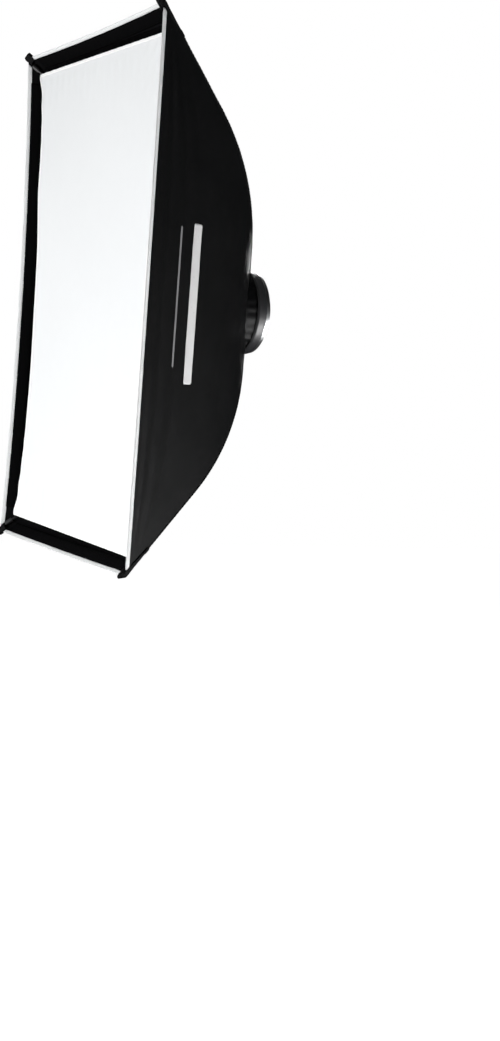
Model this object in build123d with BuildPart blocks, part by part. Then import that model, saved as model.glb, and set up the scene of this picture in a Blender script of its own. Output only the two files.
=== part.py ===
from build123d import *
import os
from math import cos, hypot, radians, sin, sqrt, tan

# Rectangular studio softbox with a rotating bayonet adapter.
# Frame: origin at the centre of the face that meets the light, +Y towards the light,
# the lit face looks along -Y, +Z up.  Lengths in millimetres.

# Cloth box
CLOTH_WIDTH = 600.0
CLOTH_HEIGHT = 900.0
DEPTH = 353.0
ROOT_ANGLE = radians(17.14)
TIP_ANGLE = radians(44.8)
BEND_RADIUS = 604.0
ROOT_RADIUS = 76.0
ROOT_Y = -29.6
CLOTH = 1.8

# Front edge
BINDING_CLOTH = 1.2
BINDING_DEPTH = 6.5
BAND_THICKNESS = 1.0
BAND_DEPTH = 20.0
SIDE_BINDING_HALF = 434.5
END_BINDING_HALF = 275.0
SIDE_BAND_HALF = 405.0
END_BAND_HALF = 269.0
POCKET_WRAP = 3.5
POCKET_GAP = 0.15
POCKET_FROM_X = 278.0
POCKET_FROM_Z = 438.0
POCKET_BACK = 50.0
POCKET_STRIP_OVER = 14.0
POCKET_STRIP_BESIDE = 4.0
POCKET_FRONT_RADIUS = 511.0

# Corner rods
ROD_INSET = 9.0
ROD_RADIUS = 2.5
ROD_START = 70.5
ROD_END_Y = -345.5
FERRULE_RADIUS = 3.25
FERRULE_END = 104.0
FERRULE_START = 70.3
TIP_RADIUS = 4.2
TIP_COVER = 12.0
TIP_CAP = 3.0
FIT_GAP = 0.05
SEAM_NEAR = 2.4
SEAM_FAR = 4.6
SEAM_FRONT = -334.0
SEAM_THICKNESS = 1.0

# Adapter, turned about the Y axis
THROAT_RADIUS = 49.0
SPIGOT_RADIUS = 54.0
SPIGOT_LENGTH = 12.0
LUG_RADIUS = 61.0
LUG_NEAR = 5.0
LUG_THICKNESS = 3.0
LUG_ANGLE = 34.0
LUG_COUNT = 3
HUB_RADIUS = 58.0
HUB_FRONT = -26.0
FLANGE_RADIUS = 74.0
FLANGE_FRONT = -6.0
SEAT_RADIUS = 62.0
SEAT_RELIEF = 1.5
WASHER_OUTER = 72.0
WASHER_THICKNESS = 1.0

# Speed ring
RING_RADIUS = 76.0
RING_INNER = 68.0
RING_BACK = -7.1
RING_STEP = -25.9
RING_FRONT = -42.0
BOSS_RADIUS = 5.6
BOSS_START = 69.0
BOSS_END = 92.0
SOCKET_START = 70.0
SOCKET_RADIUS = 3.3
SOCKET_SCREW_AT = 84.0
SOCKET_SCREW_RADIUS = 2.0
SOCKET_SCREW_LENGTH = 5.0
RETAINER_INNER = 52.0
RETAINER_OUTER = 63.5
RETAINER_THICKNESS = 3.0
RETAINER_SCREWS = 6
RETAINER_SCREW_CIRCLE = 55.2
RETAINER_SCREW_RADIUS = 1.5
RETAINER_HEAD_RADIUS = 2.7
RETAINER_HEAD = 1.8
RETAINER_SCREW_LENGTH = 9.0

# Turn lock, on the -X side of the speed ring
LOCK_Y = -14.5
LOCK_BOSS_RADIUS = 7.0
LOCK_BOSS_END = 84.0
PAD_RADIUS = 4.0
PAD_LENGTH = 5.8
PAD_CLEARANCE = 0.15
PAD_ROOM = 2.0
SCREW_RADIUS = 2.5
KNOB_START = 88.0
KNOB_LENGTH = 14.0
KNOB_RADIUS = 11.0
KNOB_LOBES = 6
KNOB_LOBE_RADIUS = 2.6
RUNNING_GAP = 0.06

# Collar
COLLAR_INNER = 76.1
COLLAR_OUTER = 77.7
COLLAR_BACK = -22.5
COLLAR_FRONT = -60.0
STRAP_OUTER = 79.2
STRAP_FRONT = -28.6
STRAP_TAB_OUTER = 80.6
STRAP_TAB_HALF = 18.0
STRAP_TAB_OVERLAP = 0.5
CLOTH_CUT = 77.8

# Diffusers
DIFFUSER_Y = -332.0
DIFFUSER_HALF_WIDTH = 284.5
DIFFUSER_HALF_HEIGHT = 416.0
DIFFUSER_THICKNESS = 1.0
HOOK_HEM = 12.0
HOOK_HEM_THICKNESS = 2.0
HOOK_HEM_HALF = 270.0
SIDE_HEM = 5.0
SIDE_HEM_THICKNESS = 1.6
INNER_Y = -190.0
INNER_HALF_WIDTH = 165.0
INNER_HALF_HEIGHT = 247.5
STRAP_WIDTH = 25.0
STRAP_LAP = 14.0
STRAP_WALL_GAP = 0.3
SNAP_RADIUS = 5.0
SNAP_THICKNESS = 2.0

# Longer than anything here, for cuts that go right through
REACH = 700.0

# Half the diagonal of the front edge, and how much of a diagonal radius is width and height
DIAGONAL = hypot(CLOTH_WIDTH, CLOTH_HEIGHT) / 2
WIDTH_SHARE = CLOTH_WIDTH / 2 / DIAGONAL
HEIGHT_SHARE = CLOTH_HEIGHT / 2 / DIAGONAL
HALF_BEND = (TIP_ANGLE - ROOT_ANGLE) / 2

# The bend starts where the two straight runs and the arc between them just fill the depth
BEND_RISE = BEND_RADIUS * (cos(ROOT_ANGLE) - cos(TIP_ANGLE))
BEND_RUN = BEND_RADIUS * (sin(TIP_ANGLE) - sin(ROOT_ANGLE))
STRAIGHT_DROP = DEPTH + ROOT_Y - BEND_RISE + ROOT_RADIUS * tan(ROOT_ANGLE)
BEND_START = (((DIAGONAL - BEND_RUN) * tan(TIP_ANGLE) - STRAIGHT_DROP)
              / (tan(TIP_ANGLE) - tan(ROOT_ANGLE)))
BEND_START_Y = ROOT_Y - (BEND_START - ROOT_RADIUS) * tan(ROOT_ANGLE)
CENTRE_RADIUS = BEND_START - BEND_RADIUS * sin(ROOT_ANGLE)
CENTRE_Y = BEND_START_Y - BEND_RADIUS * cos(ROOT_ANGLE)

# Each wall: the way it faces, and its share of the diagonal
WALLS = {
    "right": (Vector(1, 0, 0), WIDTH_SHARE),
    "left": (Vector(-1, 0, 0), WIDTH_SHARE),
    "top": (Vector(0, 0, 1), HEIGHT_SHARE),
    "bottom": (Vector(0, 0, -1), HEIGHT_SHARE),
}

# Each corner: the signs of its X and Z
CORNERS = {
    "upper_right": (1, 1),
    "upper_left": (-1, 1),
    "lower_right": (1, -1),
    "lower_left": (-1, -1),
}

AXIS = Vector(0, 1, 0)

os.makedirs("parts", exist_ok=True)


def corner_line(inset, root_radius, front_y):
    """Root, bend start, bend corner, bend end and front of a line inset from the cloth's corner."""
    bend = BEND_RADIUS - inset
    start = (CENTRE_RADIUS + bend * sin(ROOT_ANGLE), CENTRE_Y + bend * cos(ROOT_ANGLE))
    end = (CENTRE_RADIUS + bend * sin(TIP_ANGLE), CENTRE_Y + bend * cos(TIP_ANGLE))
    reach = bend / cos(HALF_BEND)
    middle = (ROOT_ANGLE + TIP_ANGLE) / 2
    corner = (CENTRE_RADIUS + reach * sin(middle), CENTRE_Y + reach * cos(middle))
    root = (root_radius, start[1] + (start[0] - root_radius) * tan(ROOT_ANGLE))
    front = (front_radius(inset, front_y), front_y)
    return root, start, corner, end, front


def front_radius(inset, y):
    """Diagonal radius of the inset line where its straight front run is at y."""
    bend = BEND_RADIUS - inset
    end_radius = CENTRE_RADIUS + bend * sin(TIP_ANGLE)
    end_y = CENTRE_Y + bend * cos(TIP_ANGLE)
    return end_radius + (end_y - y) / tan(TIP_ANGLE)


def bend_radius_at(inset, y):
    """Diagonal radius of the inset line where its bend is at y."""
    bend = BEND_RADIUS - inset
    return CENTRE_RADIUS + sqrt(bend ** 2 - (y - CENTRE_Y) ** 2)


def draw_line(inset, root_radius, front_y, share):
    """The corner line with its radii scaled by share: straight, bend, straight."""
    points = corner_line(inset, root_radius, front_y)
    root, start, corner, end, front = [(radius * share, y) for radius, y in points]
    Line(root, start)
    Bezier(start, corner, end, weights=[1, cos(HALF_BEND), 1])
    Line(end, front)
    return root, front


def section_plane(outward):
    """Plane of a wall's section: first axis outward, second along +Y."""
    return Plane(origin=(0, 0, 0), x_dir=outward, z_dir=outward.cross(AXIS))


def face_plane(outward, y=0.0):
    """Plane square to the Y axis, with its first axis along outward."""
    return Plane(origin=(0, y, 0), x_dir=outward, z_dir=AXIS)


def corner_direction(signs):
    """Unit vector from the axis to a corner of the front edge."""
    return Vector(signs[0] * WIDTH_SHARE, 0, signs[1] * HEIGHT_SHARE)


def keep_wedge(outward, share):
    """Keep only what lies between the two corner planes beside a wall."""
    spread = sqrt(1 - share ** 2) / share
    with BuildSketch(face_plane(outward)) as wedge:
        Polygon((0, 0), (REACH, REACH * spread), (REACH, -REACH * spread), align=None)
    extrude(wedge.sketch, amount=REACH, both=True, mode=Mode.INTERSECT)


def cloth_panel(side):
    """One wall of the cloth box, from the collar to the front edge."""
    outward, share = WALLS[side]
    with BuildPart() as panel:
        with BuildSketch(section_plane(outward)):
            with BuildLine():
                outer_root, outer_front = draw_line(0, BOSS_START, -DEPTH, share)
                inner_root, inner_front = draw_line(CLOTH, BOSS_START, -DEPTH, share)
                Line(outer_root, inner_root)
                Line(outer_front, inner_front)
            make_face()
        extrude(amount=REACH, both=True)
        keep_wedge(outward, share)
        with BuildSketch(Plane.XZ):
            Circle(CLOTH_CUT)
        extrude(amount=REACH, both=True, mode=Mode.SUBTRACT)
    panel.part.label = f"panel_{side}"
    export_step(panel.part, f"parts/panel_{side}.step")


def front_strip(share, outer_inset, inner_inset, front_y, back_y):
    """Sketch of a strip along the straight front run of a wall's section."""
    Polygon(
        (front_radius(outer_inset, front_y) * share, front_y),
        (front_radius(outer_inset, back_y) * share, back_y),
        (front_radius(inner_inset, back_y) * share, back_y),
        (front_radius(inner_inset, front_y) * share, front_y),
        align=None,
    )


def edge_binding(side):
    """Tape folded over the front edge of one wall."""
    outward, share = WALLS[side]
    half_length = SIDE_BINDING_HALF if share == WIDTH_SHARE else END_BINDING_HALF
    front_y = -DEPTH - BINDING_CLOTH
    with BuildPart() as binding:
        with BuildSketch(section_plane(outward)):
            front_strip(share, -BINDING_CLOTH, CLOTH + BINDING_CLOTH, front_y, front_y + BINDING_DEPTH)
        extrude(amount=half_length, both=True)
        with BuildSketch(section_plane(outward)):
            front_strip(share, -FIT_GAP, CLOTH + FIT_GAP, -DEPTH - FIT_GAP, -DEPTH + BINDING_DEPTH)
        extrude(amount=REACH, both=True, mode=Mode.SUBTRACT)
    binding.part.label = f"edge_binding_{side}"
    export_step(binding.part, f"parts/edge_binding_{side}.step")


def loop_band(side):
    """Loop tape sewn inside a wall, behind its binding; the diffuser's hem grips it."""
    outward, share = WALLS[side]
    half_length = SIDE_BAND_HALF if share == WIDTH_SHARE else END_BAND_HALF
    band_inset = CLOTH + FIT_GAP
    front_y = -DEPTH + BINDING_DEPTH - BINDING_CLOTH + FIT_GAP
    with BuildPart() as band:
        with BuildSketch(section_plane(outward)):
            front_strip(share, band_inset, band_inset + BAND_THICKNESS, front_y, front_y + BAND_DEPTH)
        extrude(amount=half_length, both=True)
    band.part.label = f"loop_band_{side}"
    export_step(band.part, f"parts/loop_band_{side}.step")


def grown_cloth_box(outset, front_y):
    """Solid of the whole cloth box, outset by so much and cut off at front_y."""
    with BuildPart(mode=Mode.PRIVATE) as box:
        for index, side in enumerate(("right", "top")):
            outward, share = WALLS[side]
            with BuildSketch(section_plane(outward)):
                with BuildLine():
                    root, front = draw_line(-outset, BOSS_START, front_y, share)
                    Line(root, (0, root[1]))
                    Line((0, root[1]), (0, front[1]))
                    Line((0, front[1]), front)
                make_face()
                mirror(about=Plane.YZ)
            extrude(amount=REACH, both=True, mode=Mode.INTERSECT if index else Mode.ADD)
    return box.part


def corner_pocket(name, wrap, cloth):
    """Webbing cap folded over one front corner, with a strip back along it, for the rod's tip."""
    x_sign, z_sign = CORNERS[name]
    width = REACH - POCKET_FROM_X
    height = REACH - POCKET_FROM_Z
    centre = (x_sign * (POCKET_FROM_X + width / 2), -DEPTH, z_sign * (POCKET_FROM_Z + height / 2))
    back_y = -DEPTH + POCKET_BACK
    strip_side = x_sign * z_sign
    strip_plane = section_plane(corner_direction(CORNERS[name]))
    with BuildPart() as pocket:
        with BuildSketch(strip_plane.offset(-strip_side * POCKET_STRIP_BESIDE)):
            Polygon(
                (POCKET_FRONT_RADIUS, -REACH),
                (REACH, -REACH),
                (REACH, back_y),
                (POCKET_FRONT_RADIUS - 2 * POCKET_BACK, back_y),
                (POCKET_FRONT_RADIUS - 2 * POCKET_BACK, -DEPTH),
                (POCKET_FRONT_RADIUS, -DEPTH),
                align=None,
            )
        extrude(amount=strip_side * (POCKET_STRIP_BESIDE + POCKET_STRIP_OVER))
        with Locations(centre):
            Box(width, 2 * POCKET_BACK, height)
        add(wrap, mode=Mode.INTERSECT)
        add(cloth, mode=Mode.SUBTRACT)
    pocket.part.label = f"corner_pocket_{name}"
    export_step(pocket.part, f"parts/corner_pocket_{name}.step")


def corner_rod(name):
    """Glass-fibre rod that springs one corner of the cloth outward."""
    outward = corner_direction(CORNERS[name])
    with BuildPart() as rod:
        with BuildLine(section_plane(outward)) as path:
            draw_line(ROD_INSET, ROD_START, ROD_END_Y, 1)
        with BuildSketch(Plane(origin=path.line @ 0, z_dir=path.line % 0)):
            Circle(ROD_RADIUS)
        sweep()
    rod.part.label = f"rod_{name}"
    export_step(rod.part, f"parts/rod_{name}.step")


def rod_tip(name):
    """Cap pressed on the front end of a rod."""
    outward = corner_direction(CORNERS[name])
    along = outward * cos(TIP_ANGLE) - AXIS * sin(TIP_ANGLE)
    rod_end = outward * front_radius(ROD_INSET, ROD_END_Y) + AXIS * ROD_END_Y
    with BuildPart() as tip:
        with BuildSketch(Plane(origin=rod_end - along * TIP_COVER, z_dir=along)):
            Circle(TIP_RADIUS)
        extrude(amount=TIP_COVER + TIP_CAP)
        fillet(tip.edges().group_by(Axis((0, 0, 0), along))[-1], TIP_CAP / 2)
        with BuildSketch(Plane(origin=rod_end, z_dir=-along)):
            Circle(ROD_RADIUS + FIT_GAP)
        extrude(amount=TIP_COVER, mode=Mode.SUBTRACT)
    tip.part.label = f"rod_tip_{name}"
    export_step(tip.part, f"parts/rod_tip_{name}.step")


def root_plane(outward, at_radius):
    """Plane across the straight root run of a rod, at a diagonal radius, facing the tip."""
    along = outward * cos(ROOT_ANGLE) - AXIS * sin(ROOT_ANGLE)
    root = corner_line(ROD_INSET, at_radius, -DEPTH)[0]
    return Plane(origin=outward * root[0] + AXIS * root[1], z_dir=along)


def rod_ferrule(name):
    """Steel tube on the root of a rod, the part that stands in the socket."""
    outward = corner_direction(CORNERS[name])
    length = (FERRULE_END - FERRULE_START) / cos(ROOT_ANGLE)
    with BuildPart() as ferrule:
        with BuildSketch(root_plane(outward, FERRULE_START)):
            Circle(FERRULE_RADIUS)
            Circle(ROD_RADIUS + FIT_GAP, mode=Mode.SUBTRACT)
        extrude(amount=length)
    ferrule.part.label = f"rod_ferrule_{name}"
    export_step(ferrule.part, f"parts/rod_ferrule_{name}.step")


def corner_seam(name):
    """Seam allowance of two walls, standing inward along a corner behind the rod."""
    outward = corner_direction(CORNERS[name])
    with BuildPart() as seam:
        with BuildSketch(section_plane(outward)):
            with BuildLine():
                outer_root, outer_front = draw_line(SEAM_NEAR, FERRULE_END, SEAM_FRONT, 1)
                inner_root, inner_front = draw_line(SEAM_FAR, FERRULE_END, SEAM_FRONT, 1)
                Line(outer_root, inner_root)
                Line(outer_front, inner_front)
            make_face()
        extrude(amount=SEAM_THICKNESS / 2, both=True)
    seam.part.label = f"corner_seam_{name}"
    export_step(seam.part, f"parts/corner_seam_{name}.step")


def turned(points):
    """Turn an outline of (radius, y) points about the Y axis."""
    with BuildSketch(Plane.XY) as outline:
        Polygon(*points, align=None)
    revolve(outline.sketch, axis=Axis.Y)


def bayonet_adapter():
    """Hub that the speed ring turns on, with the spigot and lugs that enter the light."""
    lug_slope = tan(radians(LUG_ANGLE / 2))
    with BuildPart() as adapter:
        turned([
            (THROAT_RADIUS, HUB_FRONT),
            (HUB_RADIUS, HUB_FRONT),
            (HUB_RADIUS, FLANGE_FRONT),
            (FLANGE_RADIUS, FLANGE_FRONT),
            (FLANGE_RADIUS, 0),
            (SEAT_RADIUS, 0),
            (SEAT_RADIUS, -SEAT_RELIEF),
            (SPIGOT_RADIUS, -SEAT_RELIEF),
            (SPIGOT_RADIUS, SPIGOT_LENGTH),
            (THROAT_RADIUS, SPIGOT_LENGTH),
        ])
        with BuildSketch(Plane(origin=(0, LUG_NEAR, 0), x_dir=(1, 0, 0), z_dir=(0, 1, 0))):
            with PolarLocations(0, LUG_COUNT, start_angle=90):
                Polygon((0, 0), (REACH, REACH * lug_slope), (REACH, -REACH * lug_slope), align=None)
            Circle(LUG_RADIUS, mode=Mode.INTERSECT)
            Circle((THROAT_RADIUS + SPIGOT_RADIUS) / 2, mode=Mode.SUBTRACT)
        extrude(amount=LUG_THICKNESS)
        with BuildSketch(Plane(origin=(0, HUB_FRONT, 0), x_dir=(1, 0, 0), z_dir=(0, 1, 0))):
            with PolarLocations(RETAINER_SCREW_CIRCLE, RETAINER_SCREWS):
                Circle(RETAINER_SCREW_RADIUS + FIT_GAP)
        extrude(amount=RETAINER_SCREW_LENGTH - RETAINER_THICKNESS, mode=Mode.SUBTRACT)
    adapter.part.label = "bayonet_adapter"
    export_step(adapter.part, "parts/bayonet_adapter.step")


def friction_washer():
    """Slip washer between the adapter's flange and the speed ring."""
    with BuildPart() as washer:
        turned([
            (HUB_RADIUS + RUNNING_GAP, FLANGE_FRONT - WASHER_THICKNESS),
            (WASHER_OUTER, FLANGE_FRONT - WASHER_THICKNESS),
            (WASHER_OUTER, FLANGE_FRONT),
            (HUB_RADIUS + RUNNING_GAP, FLANGE_FRONT),
        ])
    washer.part.label = "friction_washer"
    export_step(washer.part, "parts/friction_washer.step")


def retaining_ring():
    """Plate screwed on the hub's front, which keeps the speed ring on it."""
    with BuildPart() as retainer:
        turned([
            (RETAINER_INNER, HUB_FRONT - RETAINER_THICKNESS),
            (RETAINER_OUTER, HUB_FRONT - RETAINER_THICKNESS),
            (RETAINER_OUTER, HUB_FRONT),
            (RETAINER_INNER, HUB_FRONT),
        ])
        with BuildSketch(Plane(origin=(0, HUB_FRONT, 0), x_dir=(1, 0, 0), z_dir=(0, -1, 0))):
            with PolarLocations(RETAINER_SCREW_CIRCLE, RETAINER_SCREWS):
                Circle(RETAINER_SCREW_RADIUS + FIT_GAP)
        extrude(amount=RETAINER_THICKNESS, mode=Mode.SUBTRACT)
    retainer.part.label = "retaining_ring"
    export_step(retainer.part, "parts/retaining_ring.step")


def retaining_screws():
    """Pan-head screws through the retaining ring."""
    seat = Plane(origin=(0, HUB_FRONT - RETAINER_THICKNESS, 0), x_dir=(1, 0, 0), z_dir=(0, -1, 0))
    with BuildPart() as screws:
        with BuildSketch(seat):
            with PolarLocations(RETAINER_SCREW_CIRCLE, RETAINER_SCREWS):
                Circle(RETAINER_HEAD_RADIUS)
        extrude(amount=RETAINER_HEAD)
        fillet(screws.edges().group_by(Axis.Y)[0], RETAINER_HEAD / 3)
        with BuildSketch(seat):
            with PolarLocations(RETAINER_SCREW_CIRCLE, RETAINER_SCREWS):
                Circle(RETAINER_SCREW_RADIUS)
        extrude(amount=-RETAINER_SCREW_LENGTH + FIT_GAP)
        with BuildSketch(seat.offset(RETAINER_HEAD)):
            with PolarLocations(RETAINER_SCREW_CIRCLE, RETAINER_SCREWS):
                RegularPolygon(RETAINER_SCREW_RADIUS, 6)
        extrude(amount=-RETAINER_HEAD / 2, mode=Mode.SUBTRACT)
    screws.part.label = "retaining_screws"
    export_step(screws.part, "parts/retaining_screws.step")


def speed_ring():
    """Cast ring that turns on the hub and carries the four rod sockets and the turn lock."""
    boss_length = (BOSS_END - BOSS_START) / cos(ROOT_ANGLE)
    with BuildPart() as ring:
        turned([
            (HUB_RADIUS + RUNNING_GAP, RING_BACK),
            (RING_RADIUS, RING_BACK),
            (RING_RADIUS, RING_FRONT),
            (RING_INNER, RING_FRONT),
            (RING_INNER, RING_STEP),
            (HUB_RADIUS + RUNNING_GAP, RING_STEP),
        ])
        for signs in CORNERS.values():
            outward = corner_direction(signs)
            with BuildSketch(root_plane(outward, BOSS_START)):
                Circle(BOSS_RADIUS)
            extrude(amount=boss_length)
        with BuildSketch(Plane(origin=(0, LOCK_Y, 0), x_dir=(0, 1, 0), z_dir=(-1, 0, 0)).offset(RING_INNER)):
            Circle(LOCK_BOSS_RADIUS)
        extrude(amount=LOCK_BOSS_END - RING_INNER)
        for signs in CORNERS.values():
            outward = corner_direction(signs)
            with BuildSketch(root_plane(outward, SOCKET_START)):
                Circle(SOCKET_RADIUS)
            extrude(amount=REACH, mode=Mode.SUBTRACT)
            with BuildSketch(socket_screw_plane(outward)):
                Circle(SOCKET_SCREW_RADIUS + FIT_GAP)
            extrude(amount=REACH, mode=Mode.SUBTRACT)
        with BuildSketch(Plane(origin=(0, LOCK_Y, 0), x_dir=(0, 1, 0), z_dir=(-1, 0, 0))):
            Circle(SCREW_RADIUS + RUNNING_GAP)
        extrude(amount=REACH, mode=Mode.SUBTRACT)
        with BuildSketch(Plane(origin=(0, LOCK_Y, 0), x_dir=(0, 1, 0), z_dir=(-1, 0, 0))):
            Circle(PAD_RADIUS + RUNNING_GAP)
        extrude(amount=HUB_RADIUS + PAD_CLEARANCE + PAD_LENGTH + PAD_ROOM, mode=Mode.SUBTRACT)
    ring.part.label = "speed_ring"
    export_step(ring.part, "parts/speed_ring.step")


def socket_screw_plane(outward):
    """Plane on the front of a ferrule, facing out along the socket's clamp screw."""
    along = outward * cos(ROOT_ANGLE) - AXIS * sin(ROOT_ANGLE)
    root = corner_line(ROD_INSET, SOCKET_SCREW_AT, -DEPTH)[0]
    centre = outward * root[0] + AXIS * root[1]
    square = -AXIS * cos(ROOT_ANGLE) - outward * sin(ROOT_ANGLE)
    return Plane(origin=centre + square * (FERRULE_RADIUS + FIT_GAP), x_dir=along, z_dir=square)


def socket_screws():
    """Clamp screws that hold the ferrules in their sockets."""
    with BuildPart() as screws:
        for signs in CORNERS.values():
            plane = socket_screw_plane(corner_direction(signs))
            with BuildSketch(plane):
                Circle(SOCKET_SCREW_RADIUS)
            extrude(amount=SOCKET_SCREW_LENGTH)
            with BuildSketch(plane.offset(SOCKET_SCREW_LENGTH)):
                RegularPolygon(SOCKET_SCREW_RADIUS / 2, 6)
            extrude(amount=-SOCKET_SCREW_LENGTH / 2, mode=Mode.SUBTRACT)
    screws.part.label = "socket_screws"
    export_step(screws.part, "parts/socket_screws.step")


def lock_plane(radius):
    """Plane across the turn lock's axis, at a radius, facing away from the hub."""
    return Plane(origin=(-radius, LOCK_Y, 0), x_dir=(0, 1, 0), z_dir=(-1, 0, 0))


def clamp_pad():
    """Brass pad that the lock screw presses on the hub."""
    with BuildPart() as pad:
        with BuildSketch(lock_plane(HUB_RADIUS + PAD_CLEARANCE)):
            Circle(PAD_RADIUS)
        extrude(amount=PAD_LENGTH)
    pad.part.label = "clamp_pad"
    export_step(pad.part, "parts/clamp_pad.step")


def lock_screw():
    """Threaded shank of the lock, from the pad to inside the knob."""
    start = HUB_RADIUS + PAD_CLEARANCE + PAD_LENGTH
    with BuildPart() as screw:
        with BuildSketch(lock_plane(start)):
            Circle(SCREW_RADIUS)
        extrude(amount=KNOB_START + KNOB_LENGTH / 2 - start)
    screw.part.label = "lock_screw"
    export_step(screw.part, "parts/lock_screw.step")


def lock_knob():
    """Lobed knob moulded on the lock screw."""
    with BuildPart() as knob:
        with BuildSketch(lock_plane(KNOB_START)):
            Circle(KNOB_RADIUS)
            with PolarLocations(KNOB_RADIUS, KNOB_LOBES):
                Circle(KNOB_LOBE_RADIUS, mode=Mode.SUBTRACT)
        extrude(amount=KNOB_LENGTH)
        fillet(knob.edges().group_by(Axis.X)[0], 1)
        with BuildSketch(lock_plane(KNOB_START)):
            Circle(SCREW_RADIUS + FIT_GAP)
        extrude(amount=KNOB_LENGTH / 2, mode=Mode.SUBTRACT)
    knob.part.label = "lock_knob"
    export_step(knob.part, "parts/lock_knob.step")


def rear_collar(cloth):
    """Cloth sleeve from the walls' rear edge back over the speed ring."""
    with BuildPart() as collar:
        turned([
            (COLLAR_INNER, COLLAR_BACK),
            (COLLAR_OUTER, COLLAR_BACK),
            (COLLAR_OUTER, COLLAR_FRONT),
            (COLLAR_INNER, COLLAR_FRONT),
        ])
        add(cloth, mode=Mode.SUBTRACT)
    collar.part.label = "rear_collar"
    export_step(collar.part, "parts/rear_collar.step")


def collar_strap():
    """Hook-and-loop strap round the collar, with the lap of its end underneath."""
    with BuildPart() as strap:
        turned([
            (CLOTH_CUT, COLLAR_BACK),
            (STRAP_OUTER, COLLAR_BACK),
            (STRAP_OUTER, STRAP_FRONT),
            (CLOTH_CUT, STRAP_FRONT),
        ])
        with BuildSketch(Plane(origin=(0, COLLAR_BACK, 0), x_dir=(1, 0, 0), z_dir=(0, -1, 0))):
            Circle(STRAP_TAB_OUTER)
            Circle(STRAP_OUTER - STRAP_TAB_OVERLAP, mode=Mode.SUBTRACT)
            with Locations((0, REACH / 2)):
                Rectangle(2 * STRAP_TAB_HALF, REACH, mode=Mode.INTERSECT)
        extrude(amount=COLLAR_BACK - STRAP_FRONT)
    strap.part.label = "collar_strap"
    export_step(strap.part, "parts/collar_strap.step")


def slab(name, half_width, half_height, near_y, far_y, centre=(0, 0)):
    """A flat rectangular piece square to the Y axis."""
    with BuildPart() as piece:
        with Locations((centre[0], (near_y + far_y) / 2, centre[1])):
            Box(2 * half_width, abs(far_y - near_y), 2 * half_height)
    piece.part.label = name
    export_step(piece.part, f"parts/{name}.step")


def front_diffuser():
    """White cloth across the front, with hook hems above and below and plain hems at the sides."""
    front = DIFFUSER_Y - DIFFUSER_THICKNESS / 2
    back = DIFFUSER_Y + DIFFUSER_THICKNESS / 2
    slab("front_diffuser", DIFFUSER_HALF_WIDTH, DIFFUSER_HALF_HEIGHT, front, back)
    hem_z = DIFFUSER_HALF_HEIGHT + HOOK_HEM / 2
    hem_back = DIFFUSER_Y + HOOK_HEM_THICKNESS / 2
    hem_front = DIFFUSER_Y - HOOK_HEM_THICKNESS / 2
    slab("diffuser_hem_top", HOOK_HEM_HALF, HOOK_HEM / 2, hem_front, hem_back, (0, hem_z))
    slab("diffuser_hem_bottom", HOOK_HEM_HALF, HOOK_HEM / 2, hem_front, hem_back, (0, -hem_z))
    hem_x = DIFFUSER_HALF_WIDTH - SIDE_HEM / 2
    side_front = front - SIDE_HEM_THICKNESS
    slab("diffuser_hem_right", SIDE_HEM / 2, DIFFUSER_HALF_HEIGHT, side_front, front, (hem_x, 0))
    slab("diffuser_hem_left", SIDE_HEM / 2, DIFFUSER_HALF_HEIGHT, side_front, front, (-hem_x, 0))


def inner_straps(side):
    """Two elastic straps from the inner diffuser's edge to one wall."""
    outward, share = WALLS[side]
    edge = INNER_HALF_WIDTH if share == WIDTH_SHARE else INNER_HALF_HEIGHT
    across = INNER_HALF_HEIGHT if share == WIDTH_SHARE else INNER_HALF_WIDTH
    front = INNER_Y - 1.5 * DIFFUSER_THICKNESS
    wall = bend_radius_at(CLOTH, front + DIFFUSER_THICKNESS) * share
    start = edge - STRAP_LAP
    length = wall - STRAP_WALL_GAP - start
    with BuildPart() as straps:
        with BuildSketch(face_plane(outward, front)):
            with Locations((start + length / 2, across / 2), (start + length / 2, -across / 2)):
                Rectangle(length, STRAP_WIDTH)
        extrude(amount=DIFFUSER_THICKNESS)
    straps.part.label = f"inner_straps_{side}"
    export_step(straps.part, f"parts/inner_straps_{side}.step")


def strap_snaps():
    """Snap studs that join the straps to the inner diffuser."""
    front = INNER_Y - 1.5 * DIFFUSER_THICKNESS
    with BuildPart() as snaps:
        for outward, share in WALLS.values():
            edge = INNER_HALF_WIDTH if share == WIDTH_SHARE else INNER_HALF_HEIGHT
            across = INNER_HALF_HEIGHT if share == WIDTH_SHARE else INNER_HALF_WIDTH
            at = edge - STRAP_LAP / 2
            with BuildSketch(face_plane(outward, front)):
                with Locations((at, across / 2), (at, -across / 2)):
                    Circle(SNAP_RADIUS)
            extrude(amount=-SNAP_THICKNESS)
        chamfer(snaps.edges().group_by(Axis.Y)[0], SNAP_THICKNESS / 3)
    snaps.part.label = "strap_snaps"
    export_step(snaps.part, "parts/strap_snaps.step")


def inner_diffuser():
    """White cloth hung halfway, which evens the light before the front one."""
    half = DIFFUSER_THICKNESS / 2
    slab("inner_diffuser", INNER_HALF_WIDTH, INNER_HALF_HEIGHT, INNER_Y - half, INNER_Y + half)


pocket_wrap = grown_cloth_box(POCKET_WRAP, -DEPTH - POCKET_WRAP)
pocket_hollow = grown_cloth_box(POCKET_GAP, -DEPTH - POCKET_GAP)
cloth_outside = grown_cloth_box(0, -DEPTH)

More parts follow.
